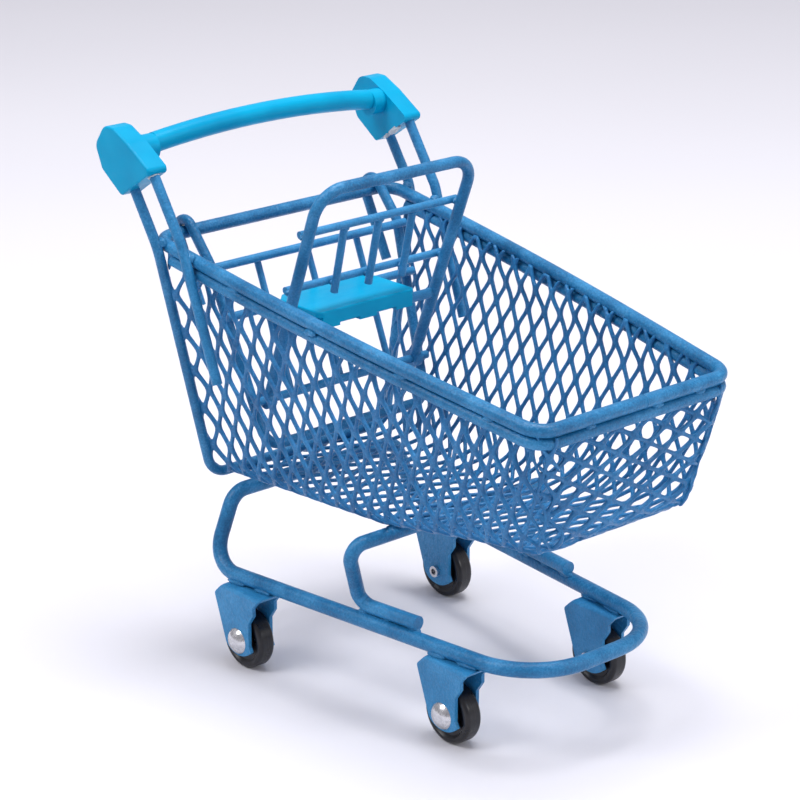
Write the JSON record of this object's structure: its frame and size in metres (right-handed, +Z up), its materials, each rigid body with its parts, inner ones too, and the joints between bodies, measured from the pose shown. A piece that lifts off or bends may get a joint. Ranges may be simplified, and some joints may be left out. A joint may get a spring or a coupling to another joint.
{
  "type": "miniature shopping cart",
  "caption": "Desk-size wire shopping cart with an expanded-metal basket, hinged rear gate, folding child backrest with seat, arched plastic handle and fixed casters.",
  "frame": {"origin": "on the floor, on the centre plane, about midway between the two axles", "axes": "+X forward along the basket, +Y to the left of the cart, +Z up"},
  "size_m": [0.1326, 0.0818, 0.1233],
  "materials": {
    "wire_paint": "mid-blue powder coat with a fine orange-peel texture",
    "mesh_paint": "the same mid-blue powder coat over expanded metal",
    "cyan_plastic": "cyan moulded plastic, satin gloss",
    "wheel_plastic": "black moulded plastic, satin",
    "rivet_chrome": "bright nickel plating"
  },
  "bodies": {
    "frame": {"base_ring": "wire_paint", "caster_fork_front_left": "wire_paint", "caster_fork_front_right": "wire_paint", "caster_fork_rear_left": "wire_paint", "caster_fork_rear_right": "wire_paint", "front_support": "wire_paint", "handle_bar": "cyan_plastic", "handle_brace_left": "wire_paint", "handle_brace_right": "wire_paint", "handle_frame": "wire_paint", "handle_grip_left": "cyan_plastic", "handle_grip_right": "cyan_plastic", "mesh_bend_front": "mesh_paint", "mesh_bend_left": "mesh_paint", "mesh_bend_right": "mesh_paint", "mesh_floor_front": "mesh_paint", "mesh_floor_rear": "mesh_paint", "mesh_front": "mesh_paint", "mesh_side_left": "mesh_paint", "mesh_side_right": "mesh_paint", "rim_wire_lower": "wire_paint", "rim_wire_upper": "wire_paint", "rivet_front_left": "rivet_chrome", "rivet_front_right": "rivet_chrome", "rivet_rear_left": "rivet_chrome", "rivet_rear_right": "rivet_chrome"},
    "gate": {"gate_bar_lower": "wire_paint", "gate_bar_middle": "wire_paint", "gate_bar_upper": "wire_paint", "gate_frame": "wire_paint", "gate_upright_1": "wire_paint", "gate_upright_2": "wire_paint", "gate_upright_3": "wire_paint"},
    "backrest": {"backrest_bar_lower": "wire_paint", "backrest_bar_upper": "wire_paint", "backrest_frame": "wire_paint", "backrest_seat_bar": "wire_paint", "backrest_upright_1": "wire_paint", "backrest_upright_2": "wire_paint", "backrest_upright_3": "wire_paint", "pivot_link_left": "wire_paint", "pivot_link_right": "wire_paint"},
    "seat": {"seat": "cyan_plastic"},
    "wheel_rear_right": {"wheel_rear_right": "wheel_plastic"},
    "wheel_rear_left": {"wheel_rear_left": "wheel_plastic"},
    "wheel_front_right": {"wheel_front_right": "wheel_plastic"},
    "wheel_front_left": {"wheel_front_left": "wheel_plastic"}
  },
  "joints": [
    {"name": "wheel_spin_rear_right", "type": "hinge", "parent": "frame", "child": "wheel_rear_right", "pos_m": [-0.032, -0.0312, 0.007], "axis": [0, 1, 0], "continuous": true},
    {"name": "wheel_spin_rear_left", "type": "hinge", "parent": "frame", "child": "wheel_rear_left", "pos_m": [-0.032, 0.0312, 0.007], "axis": [0, 1, 0], "continuous": true},
    {"name": "wheel_spin_front_right", "type": "hinge", "parent": "frame", "child": "wheel_front_right", "pos_m": [0.0284, -0.0227, 0.007], "axis": [0, 1, 0], "continuous": true},
    {"name": "wheel_spin_front_left", "type": "hinge", "parent": "frame", "child": "wheel_front_left", "pos_m": [0.0284, 0.0227, 0.007], "axis": [0, 1, 0], "continuous": true},
    {"name": "gate_swing", "type": "hinge", "parent": "frame", "child": "gate", "pos_m": [-0.0578, 0, 0.0981], "axis": [0, -1, 0], "range_deg": [0, 60]},
    {"name": "backrest_fold", "type": "hinge", "parent": "gate", "child": "backrest", "pos_m": [-0.0345, 0, 0.0626], "axis": [0, -1, 0], "range_deg": [0, 21]},
    {"name": "seat_flip", "type": "hinge", "parent": "backrest", "child": "seat", "pos_m": [-0.02779, 0, 0.0805], "axis": [0, 1, 0], "range_deg": [0, 61]}
  ],
  "couplings": [
    {"joint": "seat_flip", "follows": "backrest_fold", "ratio": 2.85}
  ]
}
